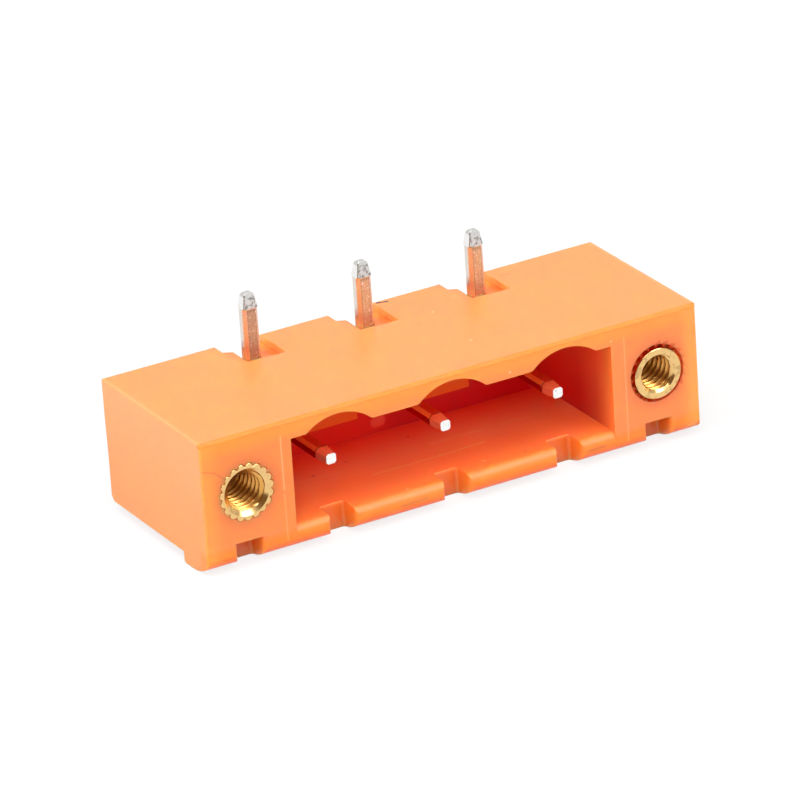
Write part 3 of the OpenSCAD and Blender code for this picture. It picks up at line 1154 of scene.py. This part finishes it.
@dataclass
class ThreadedInsert:
    """A turned brass insert with a serrated end, a plain pilot and a threaded bore."""

    side: str
    end: InsertEnd
    knurl_radius: float = 1.78
    knurl_depth: float = 0.19
    ridge_share: float = 0.8
    ridges: int = 19
    first_ridge: float = 4.2
    pilot_radius: float = 1.58
    pilot_run: float = 1.0
    minor_radius: float = 1.03
    major_radius: float = 1.25
    thread_pitch: float = 0.45
    thread_open: float = 0.85
    thread_flank: float = 0.75
    sink_radius: float = 1.42
    sink_run: float = 0.35
    mouth_radius: float = 1.20
    mouth_run: float = 0.17
    edge: float = 0.035
    steps_a_ridge: int = 8
    rings_a_pitch: int = 14
    smooth: float = 32.0

    def _outline(self, length: float) -> list[tuple[float, float, bool]]:
        """Half section of the insert's outside, from its knurled end to its pilot end.

        Args:
            length: how long the insert is.

        Returns:
            Radius, distance from the knurled end and whether the serrations reach the point.
        """
        run = length - self.pilot_run
        return [
            (self.sink_radius, 0.0, False),
            (self.knurl_radius - self.edge, 0.0, True),
            (self.knurl_radius, self.edge, True),
            (self.knurl_radius, run - self.edge, True),
            (self.knurl_radius - self.edge, run, True),
            (self.pilot_radius, run, False),
            (self.pilot_radius, length - self.edge, False),
            (self.pilot_radius - self.edge, length, False),
            (self.mouth_radius, length, False),
        ]

    def build(self) -> bmesh.types.BMesh:
        """Models the insert round its axis, presses its serrations and cuts its thread.

        Returns:
            The shape in metres.
        """
        low, high = (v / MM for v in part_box("insert_" + self.side))
        length = high.y - low.y
        centre = Vector(((low.x + high.x) / 2, low.y, (low.z + high.z) / 2))
        flip = self.end is InsertEnd.PILOT
        shape = bmesh.new()
        serrated = shape.verts.layers.int.new("serrated")
        bored = shape.verts.layers.int.new("bored")
        outside = [(r, length - y if flip else y, s) for r, y, s in self._outline(length)]
        section = []
        for radius, y, knurled in outside:
            vert = shape.verts.new((radius, y, 0.0))
            vert[serrated] = int(knurled)
            section.append(vert)
        rings = round(length / self.thread_pitch * self.rings_a_pitch)
        start, stop = outside[-1][1], outside[0][1]
        for i in range(1, rings):
            vert = shape.verts.new((self.minor_radius, start + (stop - start) * i / rings, 0.0))
            vert[bored] = 1
            section.append(vert)
        edges = [shape.edges.new((a, b)) for a, b in zip(section, section[1:] + section[:1])]
        bmesh.ops.spin(
            shape,
            geom=section + edges,
            cent=ORIGIN,
            axis=(0.0, 1.0, 0.0),
            angle=math.tau,
            steps=self.ridges * self.steps_a_ridge,
            use_merge=True,
        )
        for vert in shape.verts:
            turn = math.atan2(vert.co.z, vert.co.x)
            radius = math.hypot(vert.co.z, vert.co.x)
            if vert[serrated]:
                radius -= self.knurl_radius - self._ridge(turn)
            elif vert[bored]:
                y = vert.co.y
                radius = self._bore(length - y if flip else y, turn, y, length)
            vert.co.x = radius * math.cos(turn)
            vert.co.z = radius * math.sin(turn)
        bmesh.ops.recalc_face_normals(shape, faces=shape.faces)
        bmesh.ops.translate(shape, vec=centre, verts=shape.verts)
        bmesh.ops.scale(shape, vec=(MM, MM, MM), verts=shape.verts)
        return shape

    def _ridge(self, turn: float) -> float:
        """Radius of the serrated outline: round ridges on a plain core.

        Args:
            turn: angle round the axis in radians.

        Returns:
            The radius in millimetres.
        """
        ridge = self.ridge_share * math.pi * self.knurl_radius / self.ridges
        orbit = self.knurl_radius - ridge
        step = math.tau / self.ridges
        off = (turn - math.radians(self.first_ridge) + step / 2) % step - step / 2
        core = self.knurl_radius - self.knurl_depth
        under = ridge**2 - (orbit * math.sin(off)) ** 2
        if under <= 0.0:
            return core
        return max(core, orbit * math.cos(off) + math.sqrt(under))

    def _bore(self, depth: float, turn: float, y: float, length: float) -> float:
        """Radius of the bore: a right-hand thread that runs out in the countersink and the mouth.

        Args:
            depth: distance from the knurled end.
            turn: angle round the axis in radians.
            y: distance from the front end.
            length: how long the insert is.

        Returns:
            The radius in millimetres.
        """
        phase = (y / self.thread_pitch + turn / math.tau) % 1.0
        groove = (self.thread_open - abs(2.0 * phase - 1.0)) / self.thread_flank
        groove = min(1.0, max(0.0, groove))
        groove *= groove * (3.0 - 2.0 * groove)
        radius = self.minor_radius + (self.major_radius - self.minor_radius) * groove
        sink = self.sink_radius - depth * (self.sink_radius - self.minor_radius) / self.sink_run
        mouth_slope = (self.mouth_radius - self.minor_radius) / self.mouth_run
        mouth = self.mouth_radius - (length - depth) * mouth_slope
        return max(radius, sink, mouth)

    def dress(self, material: bpy.types.Material) -> None:
        """Builds the insert and puts it in the frame."""
        piece = Piece("threaded_insert_" + self.side, "insert_" + self.side, Slot.INSERT)
        piece.finish(self.build(), material, self.smooth)


# Linear colours of the marks on the housing.
PALE_LINE = (1.0, 0.42, 0.16)
DIM_LINE = (1.0, 0.34, 0.14)
FRONT_LINE = (0.97, 0.44, 0.20)
SCUFF = (0.62, 0.13, 0.05)
DENT = (0.25, 0.02, 0.01)
PIT = (0.50, 0.06, 0.02)
CHAR = (0.05, 0.01, 0.01)
FLAKE = (0.98, 0.62, 0.38)
CHIP = (0.98, 0.60, 0.38)


@dataclass
class Block:
    """The housing with its places that the finishes follow."""

    front: float = -6.0
    back_wall: float = 2.6
    floor: float = 1.68
    arch_top: float = 7.95
    socket_half: float = 10.72
    poles_end: float = 11.0
    half_length: float = 16.6
    pitch: float = 7.62
    insert_x: float = 13.76
    axis: float = 4.70
    pocket_front: float = 3.11
    pocket_run: float = 2.6
    pocket_span: Band = (0.45, 1.72)
    pocket_floor: float = 7.93
    board_face: float = 8.38
    notch_width: float = 1.65
    notch_depth: float = 1.55
    boss_half: float = 1.7
    boss_top: float = 2.9
    marks: tuple[Mark, ...] = (
        Mark((-3.72, -2.44, 1.68), (0.80, -2.50, 1.68), 0.06, PALE_LINE, 0.7),
        Mark((0.80, -2.50, 1.68), (3.91, -2.38, 1.68), 0.06, PALE_LINE, 0.9),
        Mark((1.25, -0.72, 1.68), (4.88, -0.78, 1.68), 0.06, DIM_LINE, 0.8),
        Mark((5.92, -0.80, 1.68), (8.03, -0.90, 1.68), 0.06, DIM_LINE, 0.6),
        Mark((-7.89, -0.72, 1.68), (-4.60, -0.86, 1.68), 0.06, (1.0, 0.32, 0.14), 0.35),
        Mark((-11.38, -6.0, 7.5), (-11.36, -6.0, 4.2), 0.05, (0.97, 0.46, 0.22), 0.75),
        Mark((-11.36, -6.0, 3.9), (-11.34, -6.0, 1.0), 0.05, FRONT_LINE, 0.45),
        Mark((11.62, -6.0, 7.5), (11.60, -6.0, 0.9), 0.05, FRONT_LINE, 0.5),
        Mark((-16.50, -6.0, 6.68), (-15.76, -6.0, 6.45), 0.04, SCUFF, 0.6),
        Mark((-15.76, -6.0, 6.45), (-15.14, -6.0, 5.92), 0.04, SCUFF, 0.6),
        Mark((-3.80, -6.0, 1.00), (-2.10, -5.98, 1.07), 0.10, (0.45, 0.16, 0.06), 0.45, 0.10),
        Mark((8.88, -6.0, 1.00), (9.99, -6.0, 1.05), 0.08, (0.40, 0.14, 0.06), 0.5, 0.10),
        speck((0.65, 0.96, 1.68), 0.10, DENT, 0.7),
        speck((-4.04, 0.10, 1.68), 0.10, DENT, 0.7),
        Mark((-6.60, -0.45, 1.68), (-6.45, -0.45, 1.68), 0.08, DENT, 0.7),
        speck((5.13, -4.98, 1.68), 0.09, (0.30, 0.05, 0.02), 0.7),
        Mark((-3.10, -5.40, 1.66), (-3.00, -5.40, 1.66), 0.08, CHIP, 0.7),
        Mark((2.48, -4.65, 1.68), (2.56, -4.75, 1.68), 0.06, CHIP, 0.7),
        speck((3.36, -2.56, 8.38), 0.09, (0.98, 0.70, 0.45), 0.8),
        Mark((1.74, 5.69, 8.38), (1.92, 5.64, 8.38), 0.16, CHAR, 1.0),
        Mark((2.10, 5.58, 8.38), (2.32, 5.50, 8.38), 0.14, CHAR, 1.0),
        speck((3.69, 2.46, 8.38), 0.10, FLAKE, 0.8),
        speck((2.04, 1.30, 8.38), 0.07, PIT, 0.7),
        speck((5.40, 3.64, 8.38), 0.07, PIT, 0.7),
        Mark((9.64, 4.76, 8.38), (10.18, 4.62, 8.38), 0.12, (0.70, 0.12, 0.03), 0.35, 0.12),
        speck((3.87, -6.0, 7.40), 0.10, FLAKE, 0.7),
        speck((10.75, -6.0, 7.51), 0.08, FLAKE, 0.7),
        # Painted light: a small lighter patch low on the socket's back wall.
        Mark((-0.58, 2.6, 2.38), (-0.22, 2.6, 2.38), 0.40, (0.94, 0.13, 0.08), 0.75, 0.25),
    )

    def dress(self) -> None:
        """Gives the housing's CAD solid its finish."""
        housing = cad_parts["housing"]
        housing.data.materials.clear()
        housing.data.materials.append(MouldedPlastic().make(self))
        log.info("housing: CAD solid with its own finish")


def main() -> None:
    """Builds the camera, the studio and the dressed part, and reports each piece."""
    bpy.context.scene.view_settings.view_transform = "Standard"
    PhotoCamera().build()
    Studio().build()
    block = Block()
    block.dress()
    tin = TinnedWire().make(block)
    for side in ("left", "middle", "right"):
        ContactPin(side).dress(tin)
    brass = TurnedBrass().make(block)
    ThreadedInsert("left", InsertEnd.KNURLED, sink_radius=1.47).dress(brass)
    ThreadedInsert("right", InsertEnd.PILOT).dress(brass)


if __name__ == "__main__":
    main()
